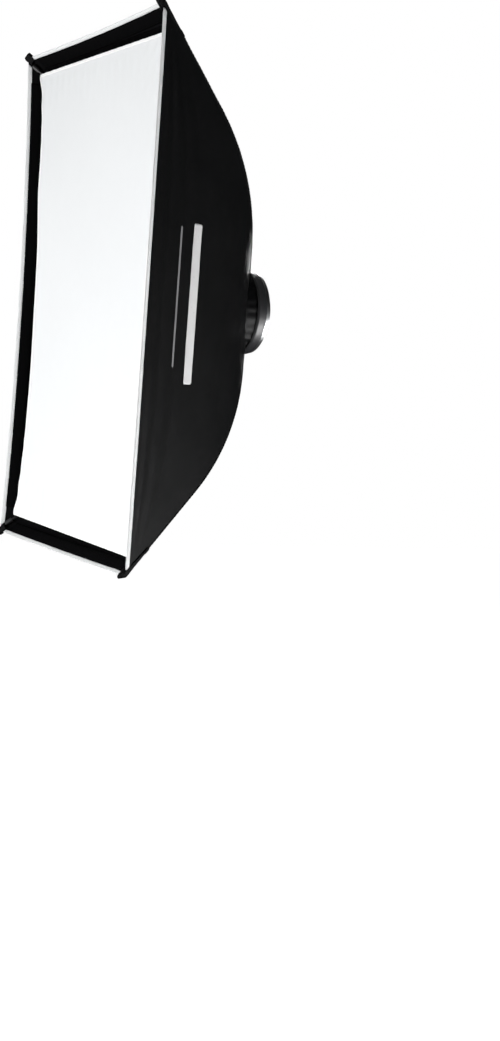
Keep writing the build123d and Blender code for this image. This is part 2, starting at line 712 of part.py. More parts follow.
bayonet_adapter()
friction_washer()
retaining_ring()
retaining_screws()
speed_ring()
socket_screws()
clamp_pad()
lock_screw()
lock_knob()
rear_collar(cloth_outside)
collar_strap()
front_diffuser()
inner_diffuser()
strap_snaps()
for wall in WALLS:
    cloth_panel(wall)
    edge_binding(wall)
    loop_band(wall)
    inner_straps(wall)
for corner_name in CORNERS:
    corner_pocket(corner_name, pocket_wrap, pocket_hollow)
    corner_rod(corner_name)
    rod_tip(corner_name)
    rod_ferrule(corner_name)
    corner_seam(corner_name)
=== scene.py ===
import math

import bpy
import numpy as np
from mathutils import Matrix, Vector


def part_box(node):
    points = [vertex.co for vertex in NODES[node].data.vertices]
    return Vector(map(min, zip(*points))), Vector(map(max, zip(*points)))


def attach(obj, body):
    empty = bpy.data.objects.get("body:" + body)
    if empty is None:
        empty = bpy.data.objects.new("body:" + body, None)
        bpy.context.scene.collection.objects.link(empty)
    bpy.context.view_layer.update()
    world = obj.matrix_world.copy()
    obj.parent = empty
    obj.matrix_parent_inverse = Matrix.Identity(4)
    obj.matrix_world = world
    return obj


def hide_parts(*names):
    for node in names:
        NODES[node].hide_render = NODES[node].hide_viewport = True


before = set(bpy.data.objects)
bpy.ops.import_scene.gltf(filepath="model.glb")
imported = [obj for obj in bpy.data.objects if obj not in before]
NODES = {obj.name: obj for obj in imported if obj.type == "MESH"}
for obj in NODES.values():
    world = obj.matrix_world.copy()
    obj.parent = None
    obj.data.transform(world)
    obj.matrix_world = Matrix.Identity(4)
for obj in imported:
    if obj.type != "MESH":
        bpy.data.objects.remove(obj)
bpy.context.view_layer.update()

MM = 0.001
TURN = 2 * math.pi
AHEAD = np.array((0.0, -1.0, 0.0))

# The cloth box: half sizes and depth from the frame, its corner line as the CAD states it
HALF_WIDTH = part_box("panel_right")[1].x
HALF_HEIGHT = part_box("panel_top")[1].z
FRONT_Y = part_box("panel_right")[0].y
ROOT_ANGLE = math.radians(17.14)
TIP_ANGLE = math.radians(44.8)
BEND_RADIUS = 604 * MM
ROOT_RADIUS = 76 * MM
ROOT_Y = -29.6 * MM
CUT_RADIUS = 77.8 * MM
DIAGONAL = math.hypot(HALF_WIDTH, HALF_HEIGHT)
WIDTH_SHARE = HALF_WIDTH / DIAGONAL
HEIGHT_SHARE = HALF_HEIGHT / DIAGONAL

BEND_RUN = BEND_RADIUS * (math.sin(TIP_ANGLE) - math.sin(ROOT_ANGLE))
BEND_RISE = BEND_RADIUS * (math.cos(ROOT_ANGLE) - math.cos(TIP_ANGLE))
STRAIGHT_DROP = ROOT_Y - FRONT_Y - BEND_RISE + ROOT_RADIUS * math.tan(ROOT_ANGLE)
BEND_START = (((DIAGONAL - BEND_RUN) * math.tan(TIP_ANGLE) - STRAIGHT_DROP)
              / (math.tan(TIP_ANGLE) - math.tan(ROOT_ANGLE)))
CENTRE_RADIUS = BEND_START - BEND_RADIUS * math.sin(ROOT_ANGLE)
CENTRE_Y = (ROOT_Y - (BEND_START - ROOT_RADIUS) * math.tan(ROOT_ANGLE)
            - BEND_RADIUS * math.cos(ROOT_ANGLE))

# Each wall: the way it faces, the way it runs, its share of the diagonal, the other share,
# and in metres its edge's bow inward and back, and the sag of its middle
WALLS = {
    "right": ((1, 0, 0), (0, 0, 1), WIDTH_SHARE, HEIGHT_SHARE, 0.0105, 0.006, 0.0055),
    "left": ((-1, 0, 0), (0, 0, -1), WIDTH_SHARE, HEIGHT_SHARE, 0.0105, 0.006, 0.0055),
    "top": ((0, 0, 1), (-1, 0, 0), HEIGHT_SHARE, WIDTH_SHARE, 0.003, 0.0015, 0.0035),
    "bottom": ((0, 0, -1), (1, 0, 0), HEIGHT_SHARE, WIDTH_SHARE, -0.0015, 0.0, 0.0035),
}
CORNERS = {
    "upper_right": (1, 1),
    "upper_left": (-1, 1),
    "lower_right": (1, -1),
    "lower_left": (-1, -1),
}
RODS = [f"rod_{name}" for name in CORNERS]
WALL_THICKNESS = 0.9 * MM
LIP_DEPTH = 58 * MM


# Meshes

def new_piece(name, points, faces, uvs, looks, indices=None):
    """A smooth mesh object from arrays of points and faces; uvs are one per point, in metres."""
    mesh = bpy.data.meshes.new(name)
    mesh.from_pydata([tuple(p) for p in points], [], [tuple(f) for f in faces])
    layer = mesh.uv_layers.new(name="UVMap")
    corner_points = np.zeros(len(mesh.loops), int)
    mesh.loops.foreach_get("vertex_index", corner_points)
    layer.data.foreach_set("uv", np.asarray(uvs, float)[corner_points].ravel())
    mesh.polygons.foreach_set("use_smooth", [True] * len(mesh.polygons))
    if indices is not None:
        mesh.polygons.foreach_set("material_index", indices)
    for look in looks:
        mesh.materials.append(look)
    mesh.update()
    piece = bpy.data.objects.new(name, mesh)
    bpy.context.scene.collection.objects.link(piece)
    return piece


def grid_faces(rows, columns, closed_rows=False, closed_columns=False):
    """Quads over points that are given row by row."""
    faces = []
    for row in range(rows if closed_rows else rows - 1):
        for column in range(columns if closed_columns else columns - 1):
            below, beside = (row + 1) % rows, (column + 1) % columns
            faces.append((row * columns + column, row * columns + beside,
                          below * columns + beside, below * columns + column))
    return faces


def capped_tube_faces(rings, count):
    """Quads round a tube of rings with count points each, and a face over each end."""
    last = (rings - 1) * count
    caps = [tuple(range(count - 1, -1, -1)), tuple(range(last, last + count))]
    return grid_faces(rings, count, closed_columns=True) + caps


def grid_uvs(u, v):
    return np.stack(np.broadcast_arrays(u, v), -1).reshape(-1, 2)


def lengths_along(path):
    """Distance along a path from its first point to each of its points."""
    return np.concatenate([[0], np.cumsum(np.linalg.norm(np.diff(path, axis=0), axis=1))])


def shifted(faces, start):
    """The faces of a part whose points come after start others."""
    return [tuple(start + i for i in f) for f in faces]


def turned_over(faces):
    return [tuple(reversed(f)) for f in faces]


def facing(points, faces, direction, judged=None):
    """The faces, turned over if the first judged ones look away from direction on the whole."""
    corners = np.asarray(points)[np.asarray(faces[:judged])]
    normals = np.cross(corners[:, 1] - corners[:, 0], corners[:, 2] - corners[:, 0])
    return turned_over(faces) if (normals @ np.asarray(direction, float)).sum() < 0 else faces


def facing_out(points, faces):
    """The faces of a closed tube, turned over if its quads enclose a negative volume."""
    corners = np.asarray(points)[np.asarray([f for f in faces if len(f) == 4])]
    volume = np.einsum("ij,ij->", corners[:, 0], np.cross(corners[:, 1], corners[:, 2]))
    return faces if volume > 0 else turned_over(faces)


def thicken(piece, thickness, inner_offset=0, even=True):
    """Gives a sheet its thickness behind its face; inner_offset picks the inside's material."""
    solid = piece.modifiers.new("thickness", "SOLIDIFY")
    solid.thickness = thickness
    solid.offset = -1
    solid.material_offset = inner_offset
    solid.use_even_offset = even


SWELL_WAVES = 7


def swell(u, v, length, seed):
    """Smooth irregular relief from -1 to 1, with features about length across."""
    draw = np.random.default_rng(seed)
    total = np.zeros(np.broadcast(u, v).shape)
    for _ in range(SWELL_WAVES):
        angle, phase = draw.uniform(0, TURN, 2)
        rate = TURN / (length * draw.uniform(0.6, 1.7))
        total = total + np.sin((u * math.cos(angle) + v * math.sin(angle)) * rate + phase)
    return total / SWELL_WAVES


def bump_at(value, centre, width):
    """A smooth bump from 0 to 1 round a centre."""
    return np.exp(-((value - centre) / width) ** 2)


def finish_piece(piece, slot, *nodes):
    """Puts a soft piece on the softbox, in place of its CAD nodes if it has any."""
    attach(piece, "softbox")
    if nodes:
        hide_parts(*nodes)


# The walls' surface

def corner_sine(radius):
    """Sine of the corner line's fall at a diagonal radius: straight, bend, straight."""
    return np.clip((np.asarray(radius, float) - CENTRE_RADIUS) / BEND_RADIUS,
                   math.sin(ROOT_ANGLE), math.sin(TIP_ANGLE))


def corner_slope(radius):
    """Fall of the corner line per diagonal radius."""
    sine = corner_sine(radius)
    return sine / np.sqrt(1 - sine ** 2)


def corner_y(radius):
    """Depth of the corner line at a diagonal radius."""
    sine = corner_sine(radius)
    held = CENTRE_RADIUS + BEND_RADIUS * sine
    return CENTRE_Y + BEND_RADIUS * np.sqrt(1 - sine ** 2) - (radius - held) * corner_slope(radius)


def wall_point(side, across, radius, inset=0.0, relief=0.0):
    """Points of a wall: across is -1 to 1 between its corners, radius is the diagonal one.
    inset moves the surface inward between its corners, relief moves its points inward."""
    outward, lateral, share, spread, bow, back, sag = WALLS[side]
    across, radius = np.broadcast_arrays(np.asarray(across, float), np.asarray(radius, float))
    slope = corner_slope(radius)
    steep = np.hypot(share, slope)
    depth = np.clip((radius - CUT_RADIUS) / (DIAGONAL - CUT_RADIUS), 0, 1.05)
    middle = 1 - across ** 2
    pull = middle * (bow * depth ** 2 + 4 * sag * depth * np.clip(1 - depth, 0, 1))
    out = share * radius - inset * slope / steep
    run = across * spread * out / share
    out = out - pull - relief * slope / steep
    y = corner_y(radius) + middle * back * depth ** 3 - (inset + relief) * share / steep
    return (out[..., None] * np.array(outward) + run[..., None] * np.array(lateral)
            - y[..., None] * AHEAD)


def front_step(side):
    """Length of a wall's section per diagonal radius, near its front edge."""
    return math.hypot(WALLS[side][2], math.tan(TIP_ANGLE))


def behind_edge(side, distance):
    """Diagonal radius of what lies so far behind the front edge, along the cloth."""
    return DIAGONAL - np.asarray(distance) / front_step(side)


def has_long_edge(side):
    return WALLS[side][2] == WIDTH_SHARE


# Swells of a whole wall: height, length across and seed
SWELLS = ((1.1 * MM, 0.16, 0), (0.35 * MM, 0.05, 10))
# Folds along the front edge: distance behind it, height and width
FOLDS = ((20 * MM, 0.9 * MM, 5 * MM), (34 * MM, -0.8 * MM, 7 * MM), (52 * MM, 1.3 * MM, 8 * MM),
         (74 * MM, -0.9 * MM, 11 * MM), (101 * MM, 1.2 * MM, 13 * MM),
         (150 * MM, 0.8 * MM, 22 * MM))
FOLD_WANDER = 4 * MM
# Creases that gather round the collar
CREASES = 17
CREASE_DEPTH = 1.1 * MM
CREASE_FADE = 45 * MM
# Puckers beside the corner seams
PUCKER_PITCH = 13 * MM
PUCKER_DEPTH = 0.55 * MM
PUCKER_PLACE = 7 * MM
PUCKER_WIDTH = 6 * MM
WALL_COLUMNS = 96
WALL_ROWS = 132


def wall_relief(side, across, radius):
    """How far the cloth lies inside its taut surface: swells, folds, creases and puckers."""
    share, spread = WALLS[side][2:4]
    run = across * spread * radius
    still = run * 0
    behind = (DIAGONAL - radius) * front_step(side)
    from_corner = (1 - np.abs(across)) * spread * radius
    from_cut = np.hypot(share * radius, run) - CUT_RADIUS
    seed = sorted(WALLS).index(side) + 1
    relief = still
    for height, length, more in SWELLS:
        relief = relief + height * swell(run, behind, length, seed + more)
    for number, (distance, height, width) in enumerate(FOLDS):
        wander = FOLD_WANDER * swell(run, still, 0.3, seed + 20 + number)
        centre = distance * (1 - 0.7 * across ** 4) + wander
        strength = 0.5 + 0.9 * across ** 2
        strength = strength * (1 + 0.6 * swell(run, still, 0.22, seed + 30 + number))
        relief = relief + height * strength * bump_at(behind, centre, width)
    angle = np.arctan2(run, share * radius)
    gather = np.sin(angle * CREASES + 3 * swell(angle, still, 0.5, seed + 40))
    fade = np.exp(-from_cut / CREASE_FADE) * np.clip(from_cut / (6 * MM), 0, 1)
    pucker = 1 + np.sin(radius / PUCKER_PITCH * TURN + 2.5 * swell(radius, still, 0.06, seed + 50))
    relief = relief + CREASE_DEPTH * gather * fade
    relief = relief + PUCKER_DEPTH * pucker * bump_at(from_corner, PUCKER_PLACE, PUCKER_WIDTH)
    relief = relief * (1 - across ** 8) * np.clip(from_corner / (3 * MM), 0, 1)
    return relief * np.clip(behind / (12 * MM), 0, 1) * np.clip(from_cut / (4 * MM), 0, 1)


def build_wall(side, looks):
    """One cloth wall from the collar to the front edge, black outside and silver inside.
    looks are the outside, its lip, the inside and its lip."""
    outward, _, share, spread = WALLS[side][:4]
    across = np.sin(np.linspace(-1, 1, WALL_COLUMNS) * math.pi / 2)[None, :]
    least = CUT_RADIUS / np.hypot(share, across * spread)
    radius = least + (DIAGONAL - least) * np.linspace(0, 1, WALL_ROWS)[:, None]
    across = np.broadcast_to(across, radius.shape)
    points = wall_point(side, across, radius, relief=wall_relief(side, across, radius))
    behind = (DIAGONAL - radius) * front_step(side)
    points = points.reshape(-1, 3)
    faces = facing(points, grid_faces(WALL_ROWS, WALL_COLUMNS), outward)
    in_lip = behind.reshape(-1)[np.asarray(faces)].mean(1) < LIP_DEPTH
    uvs = grid_uvs(across * spread * radius, behind)
    piece = new_piece(f"wall_{side}", points, faces, uvs, looks, in_lip.astype(int))
    thicken(piece, WALL_THICKNESS, inner_offset=2)
    finish_piece(piece, "wall_cloth", f"panel_{side}")


# Materials

def node(tree, kind, **settings):
    """A new node, with plain attributes set."""
    made = tree.nodes.new(kind)
    for name, value in settings.items():
        setattr(made, name, value)
    return made


def math_node(tree, operation, first, second=0.0, third=0.0):
    made = node(tree, "ShaderNodeMath", operation=operation)
    for socket, value in zip(made.inputs, (first, second, third)):
        if isinstance(value, (int, float)):
            socket.default_value = value
        else:
            tree.links.new(value, socket)
    return made.outputs[0]


def noise_node(tree, vector, scale, detail=3.0, roughness=0.55):
    made = node(tree, "ShaderNodeTexNoise")
    made.inputs["Scale"].default_value = scale
    made.inputs["Detail"].default_value = detail
    made.inputs["Roughness"].default_value = roughness
    tree.links.new(vector, made.inputs["Vector"])
    return made.outputs["Fac"]


def wave(tree, socket, pitch):
    return math_node(tree, "SINE", math_node(tree, "MULTIPLY", socket, TURN / pitch))


def weave(pitch):
    """Plain weave: threads over and under by turns."""
    def pattern(tree, axes, vector):
        return math_node(tree, "MULTIPLY", wave(tree, axes[0], pitch), wave(tree, axes[1], pitch))
    return pattern


def ribs(pitch, axis=0):
    """Ribs across a tape, as in grosgrain or elastic."""
    def pattern(tree, axes, vector):
        fine = math_node(tree, "MULTIPLY", wave(tree, axes[1 - axis], pitch * 0.8), 0.25)
        return math_node(tree, "ADD", wave(tree, axes[axis], pitch), fine)
    return pattern


def coarse_web(pitch):
    """Webbing, whose threads show from any side."""
    def pattern(tree, axes, vector):
        first = math_node(tree, "ADD", wave(tree, axes[0], pitch), wave(tree, axes[1], pitch))
        return math_node(tree, "ADD", first, wave(tree, axes[2], pitch))
    return pattern


def grain(scale, detail=4.0):
    """Irregular grain: pile, powder coat, cast or moulded skin."""
    def pattern(tree, axes, vector):
        return math_node(tree, "MULTIPLY_ADD", noise_node(tree, vector, scale, detail), 2.0, -1.0)
    return pattern


def turned(pitch):
    """Fine rings round the Y axis left by turning."""
    def pattern(tree, axes, vector):
        squares = [math_node(tree, "MULTIPLY", axes[i], axes[i]) for i in (0, 2)]
        radius = math_node(tree, "SQRT", math_node(tree, "ADD", *squares))
        rings = wave(tree, math_node(tree, "ADD", radius, axes[1]), pitch)
        return math_node(tree, "MULTIPLY", rings, noise_node(tree, vector, 900.0, 2.0))
    return pattern


def brushed(scale):
    """Fine scratches along Y."""
    def pattern(tree, axes, vector):
        stretch = node(tree, "ShaderNodeMapping")
        stretch.inputs["Scale"].default_value = (1.0, 0.06, 1.0)
        tree.links.new(vector, stretch.inputs["Vector"])
        return noise_node(tree, stretch.outputs["Vector"], scale, 2.0)
    return pattern


ROUGH_SPREAD = 0.12


def make_look(name, colour, pattern, relief, roughness, shade=0.25, patch=0.15,
              patch_size=0.08, use_uv=True, wear=None, wear_size=0.01, **sockets):
    """A procedural material: pattern gives its fine relief and shading, patches vary its tone.
    relief is the pattern's depth in metres; wear is (colour, share of the surface)."""
    material = bpy.data.materials.new(name)
    material.use_nodes = True
    tree = material.node_tree
    shader = tree.nodes["Principled BSDF"]
    for socket, value in sockets.items():
        shader.inputs[socket.replace("_", " ")].default_value = value
    place = node(tree, "ShaderNodeTexCoord").outputs["UV" if use_uv else "Object"]
    split = node(tree, "ShaderNodeSeparateXYZ")
    tree.links.new(place, split.inputs[0])
    height = pattern(tree, split.outputs, place)
    patches = noise_node(tree, place, 1 / patch_size, 4.0)
    fine = noise_node(tree, place, 9 / patch_size)
    tone = math_node(tree, "MULTIPLY_ADD", patches, 2 * patch, 1 - patch)
    for varied in (math_node(tree, "MULTIPLY_ADD", fine, patch, 1 - patch / 2),
                   math_node(tree, "MULTIPLY_ADD", height, shade / 2, 1.0)):
        tone = math_node(tree, "MULTIPLY", tone, varied)
    scale = node(tree, "ShaderNodeVectorMath", operation="SCALE")
    scale.inputs[0].default_value = colour
    tree.links.new(tone, scale.inputs["Scale"])
    base = scale.outputs[0]
    if wear:
        worn_colour, share = wear
        worn = node(tree, "ShaderNodeMapRange")
        worn.inputs["From Min"].default_value = 1 - share
        worn.inputs["From Max"].default_value = 1.05 - share
        tree.links.new(noise_node(tree, place, 1 / wear_size, 6.0, 0.7), worn.inputs["Value"])
        mix = node(tree, "ShaderNodeMix", data_type="RGBA")
        tree.links.new(worn.outputs[0], mix.inputs[0])
        tree.links.new(base, mix.inputs[6])
        mix.inputs[7].default_value = (*worn_colour, 1)
        base = mix.outputs[2]
    tree.links.new(base, shader.inputs["Base Color"])
    rough = math_node(tree, "MULTIPLY_ADD", patches, ROUGH_SPREAD, roughness - ROUGH_SPREAD / 2)
    tree.links.new(rough, shader.inputs["Roughness"])
    bump = node(tree, "ShaderNodeBump")
    bump.inputs["Strength"].default_value = 1.0
    bump.inputs["Distance"].default_value = relief
    tree.links.new(math_node(tree, "MULTIPLY_ADD", fine, 0.6, height), bump.inputs["Height"])
    tree.links.new(bump.outputs[0], shader.inputs["Normal"])
    return material


# Cloth and tapes
NYLON = make_look("nylon_black", (0.0027, 0.0028, 0.0031), weave(0.9 * MM), 0.03 * MM, 0.5,
                  shade=0.22, patch=0.12, IOR=1.3, Specular_IOR_Level=0.28)
LIP_CLOTH = make_look("nylon_lip", (0.004, 0.004, 0.0044), weave(0.9 * MM), 0.03 * MM, 0.8,
                      IOR=1.1, Specular_IOR_Level=0.3)
SILVER = make_look("silver_lining", (0.62, 0.63, 0.64), grain(420.0, 5.0), 0.25 * MM, 0.36,
                   patch=0.1, Metallic=0.75)
BINDING = make_look("binding_grosgrain", (0.80, 0.81, 0.81), ribs(1.3 * MM), 0.12 * MM, 0.72,
                    shade=0.2, patch=0.08, Specular_IOR_Level=0.3, Sheen_Weight=0.05)
THREAD = make_look("thread_light", (0.62, 0.63, 0.63), ribs(0.6 * MM), 0.05 * MM, 0.6,
                   use_uv=False, Sheen_Weight=0.1)
LOOP_PILE = make_look("loop_pile", (0.0026, 0.0026, 0.0029), grain(1400.0), 0.3 * MM, 0.95,
                      shade=0.5, IOR=1.1, Specular_IOR_Level=0.3)
HOOK_TAPE = make_look("hook_tape", (0.0026, 0.0026, 0.0029), weave(1.6 * MM), 0.3 * MM, 0.85,
                      shade=0.5, IOR=1.1, Specular_IOR_Level=0.4)
WEBBING = make_look("webbing_black", (0.0045, 0.0045, 0.005), coarse_web(2.0 * MM), 0.14 * MM,
                    0.75, shade=0.35, use_uv=False, IOR=1.25, Specular_IOR_Level=0.4)
DIFFUSER = make_look("diffuser_cloth", (0.80, 0.815, 0.825), weave(0.7 * MM), 0.02 * MM, 0.8,
                     shade=0.03, patch=0.02, patch_size=0.2, Specular_IOR_Level=0.2,
                     Sheen_Weight=0.1)
HEM_WHITE = make_look("hem_white", (0.95, 0.95, 0.95), ribs(0.9 * MM), 0.05 * MM, 0.7,
                      shade=0.06, patch=0.03, Specular_IOR_Level=0.25)
ELASTIC = make_look("elastic_black", (0.03, 0.03, 0.032), ribs(1.8 * MM), 0.2 * MM, 0.7,
                    shade=0.4, Specular_IOR_Level=0.25)
STRAP = make_look("strap_web", (0.014, 0.014, 0.015), ribs(1.5 * MM, 1), 0.15 * MM, 0.75,
                  shade=0.35, Specular_IOR_Level=0.2)
PRINT_LIGHT = make_look("print_light", (0.62, 0.62, 0.62), weave(0.9 * MM), 0.03 * MM, 0.6,
                        shade=0.12, patch=0.06, patch_size=0.02,
                        wear=((0.2, 0.2, 0.2), 0.36), wear_size=0.004)
PRINT_GREY = make_look("print_grey", (0.20, 0.20, 0.205), weave(0.9 * MM), 0.03 * MM, 0.6,
                       shade=0.15, patch=0.1, patch_size=0.02,
                       wear=((0.05, 0.05, 0.05), 0.36), wear_size=0.004)
# Metal, plastic and fibre
POWDER = make_look("powder_coat", (0.02, 0.02, 0.022), grain(2600.0, 2.0), 0.06 * MM, 0.45,
                   patch=0.1, use_uv=False, wear=((0.16, 0.16, 0.17), 0.3), wear_size=0.006)
ALUMINIUM = make_look("machined_aluminium", (0.34, 0.345, 0.35), turned(0.5 * MM), 0.02 * MM,
                      0.36, shade=0.12, patch=0.06, use_uv=False, Metallic=1.0)
STEEL = make_look("plated_steel", (0.58, 0.58, 0.59), brushed(1800.0), 0.02 * MM, 0.34,
                  shade=0.1, use_uv=False, Metallic=1.0, wear=((0.36, 0.35, 0.33), 0.34),
                  wear_size=0.008)
DARK_STEEL = make_look("dark_steel", (0.22, 0.22, 0.23), grain(2200.0), 0.03 * MM, 0.4,
                       use_uv=False, Metallic=1.0)
BRASS = make_look("satin_brass", (0.70, 0.52, 0.23), grain(1500.0), 0.02 * MM, 0.35,
                  use_uv=False, Metallic=1.0)
PLASTIC = make_look("moulded_plastic", (0.018, 0.018, 0.019), grain(1900.0, 3.0), 0.06 * MM, 0.5,
                    use_uv=False, wear=((0.05, 0.05, 0.05), 0.3))
WASHER = make_look("washer_plastic", (0.80, 0.80, 0.77), grain(1200.0), 0.02 * MM, 0.4,
                   patch=0.04, use_uv=False)
FIBRE = make_look("glass_fibre", (0.012, 0.012, 0.0125), grain(900.0, 2.0), 0.02 * MM, 0.4,
                  use_uv=False, Specular_IOR_Level=0.3)

for side in WALLS:
    build_wall(side, [NYLON, NYLON, SILVER, LIP_CLOTH])


# Front edge: binding with its stitches, and loop tape inside

# Section of the folded tape in millimetres: distance inside the cloth's face, and behind its
# edge, round the outside and then the inside
BINDING_OUTER = [(-0.65, 6.0), (-0.75, 5.6), (-0.7, 4.6), (-0.8, 2.8), (-0.7, 1.0), (-0.4, -0.1),
                 (0.1, -0.7), (0.8, -0.7), (1.3, -0.1), (1.5, 1.0), (1.55, 2.8), (1.45, 4.6),
                 (1.5, 5.6), (1.4, 6.0)]
BINDING_INNER = [(1.05, 5.8), (1.0, 3.2), (0.9, 0.6), (0.45, 0.1), (0.0, 0.6), (-0.1, 3.2),
                 (-0.1, 5.8)]
# For a long and a short edge: the binding's reach as a share of the edge, its rings and its
# widening, and the loop tape's half length
LONG_EDGE = (0.976, 260, 1.2, 405 * MM)
SHORT_EDGE = (0.936, 170, 1.0, 269 * MM)

# Rows of stitches: distance inside the cloth's face, and behind its edge
STITCH_ROWS = ((-0.74 * MM, 4.6 * MM), (1.46 * MM, 4.6 * MM))
STITCH_PITCH = 4.2 * MM
STITCH_RISE = 0.35 * MM
STITCH_HALF_WIDTH = 0.55 * MM
# Sections along a stitch: place as a share of the pitch, then shares of the rise and width
STITCH_RINGS = ((-0.42, 0.0, 0.25), (-0.36, 0.7, 0.8), (0.0, 1.0, 1.0), (0.36, 0.7, 0.8),
                (0.42, 0.0, 0.25))
# Points across a stitch: share of the width, share of the rise
STITCH_ARCH = ((-1, 0.1), (-0.5, 1), (0.5, 1), (1, 0.1))


def edge_path(side, half, inset, behind):
    """Path along a wall's edge for stitches: place, along and outward at a distance."""
    reach = WALLS[side][3] * DIAGONAL
    radius = behind_edge(side, behind)
    deeper = inset + math.copysign(0.5 * MM, inset)

    def path_of(distance):
        across = (distance - half) / reach
        place = wall_point(side, across, radius, inset)
        along = wall_point(side, across + 0.001, radius, inset) - place
        out = wall_point(side, across, radius, deeper) - place
        return [place] + [v / np.linalg.norm(v, axis=1, keepdims=True) for v in (along, out)]
    return path_of


def stitches(path_of, length):
    """Thread stitches along a path, as points and faces of small rounded pads.
    path_of(distance) gives place, along and outward directions at distances in metres."""
    count = int(length / STITCH_PITCH)
    place, along, out = path_of((np.arange(count) + 0.5) * length / count)
    beside = np.cross(along, out)
    points = []
    for shift, lift, wide in STITCH_RINGS:
        for turn, arch in STITCH_ARCH:
            points.append(place + along * (shift * STITCH_PITCH)
                          + out * (STITCH_RISE * lift * arch)
                          + beside * (turn * wide * STITCH_HALF_WIDTH))
    points = np.stack(points, 1)
    single = grid_faces(len(STITCH_RINGS), len(STITCH_ARCH))
    faces = [f for number in range(count) for f in shifted(single, number * points.shape[1])]
    return points.reshape(-1, 3), faces


def build_binding(side, reach, rings, widen):
    """Light tape folded over a wall's front edge, with a row of stitches each side."""
    seed = sorted(WALLS).index(side) + 70
    section = np.array(BINDING_OUTER + BINDING_INNER) * MM
    across = np.linspace(-reach, reach, rings)[:, None]
    run = across * WALLS[side][3] * DIAGONAL
    inset = section[:, 0] * (1 + 0.1 * swell(run, run * 0, 0.03, seed))
    behind = section[:, 1] * widen + 0.35 * MM * swell(run, run * 0, 0.05, seed + 1)
    points = wall_point(side, across, behind_edge(side, behind), inset).reshape(-1, 3)
    uvs = grid_uvs(run, lengths_along(section))
    faces = facing_out(points, capped_tube_faces(rings, len(section)))
    looks = [0] * len(faces)
    length = 2 * reach * WALLS[side][3] * DIAGONAL
    for inset_at, behind_at in STITCH_ROWS:
        more, pads = stitches(edge_path(side, length / 2, inset_at, behind_at), length)
        faces = faces + shifted(pads, len(points))
        looks = looks + [1] * len(pads)
        uvs = np.concatenate([uvs, more[:, [0, 2]]])
        points = np.concatenate([points, more])
    piece = new_piece(f"binding_{side}", points, faces, uvs, [BINDING, THREAD], looks)
    finish_piece(piece, "binding_tape", f"edge_binding_{side}")


LOOP_NEAR = 6.2 * MM
LOOP_FAR = 29 * MM
LOOP_THICKNESS = 1.2 * MM
LOOP_FUZZ = 0.5 * MM
LOOP_STEP = 2.5 * MM
LOOP_ROWS = 12


def build_loop_tape(side, half):
    """Loop tape inside a wall, just behind its binding, with a slightly fuzzy face."""
    run = np.linspace(-half, half, int(2 * half / LOOP_STEP))[None, :]
    behind = np.linspace(LOOP_NEAR, LOOP_FAR, LOOP_ROWS)[:, None]
    radius = behind_edge(side, behind) + 0 * run
    across = run / (WALLS[side][3] * radius)
    draw = np.random.default_rng(sorted(WALLS).index(side) + 90)
    fuzz = draw.uniform(0, LOOP_FUZZ, radius.shape)
    from_edge = np.minimum(half - np.abs(run), np.minimum(behind - LOOP_NEAR, LOOP_FAR - behind))
    rounded = LOOP_THICKNESS * np.clip(0.35 + from_edge / (1.5 * MM), 0, 1)
    points = wall_point(side, across, radius, WALL_THICKNESS + rounded + fuzz).reshape(-1, 3)
    faces = facing(points, grid_faces(LOOP_ROWS, run.size), [-c for c in WALLS[side][0]])
    piece = new_piece(f"loop_tape_{side}", points, faces, grid_uvs(run, behind), [LOOP_PILE])
    thicken(piece, LOOP_THICKNESS * 0.8)
    finish_piece(piece, "loop_tape", f"loop_band_{side}")


for side in WALLS:
    reach, rings, widen, loop_half = LONG_EDGE if has_long_edge(side) else SHORT_EDGE
    build_binding(side, reach, rings, widen)
    build_loop_tape(side, loop_half)


# Corner pockets and seams

POCKET_BACK = 71 * MM
POCKET_INSIDE = 14 * MM
POCKET_LIFT = 1.6 * MM
POCKET_THICKNESS = 1.1 * MM
POCKET_OUTER_ROWS = 26
POCKET_BEND_ROWS = 18
POCKET_INNER_ROWS = 12
POCKET_COLUMNS = 41


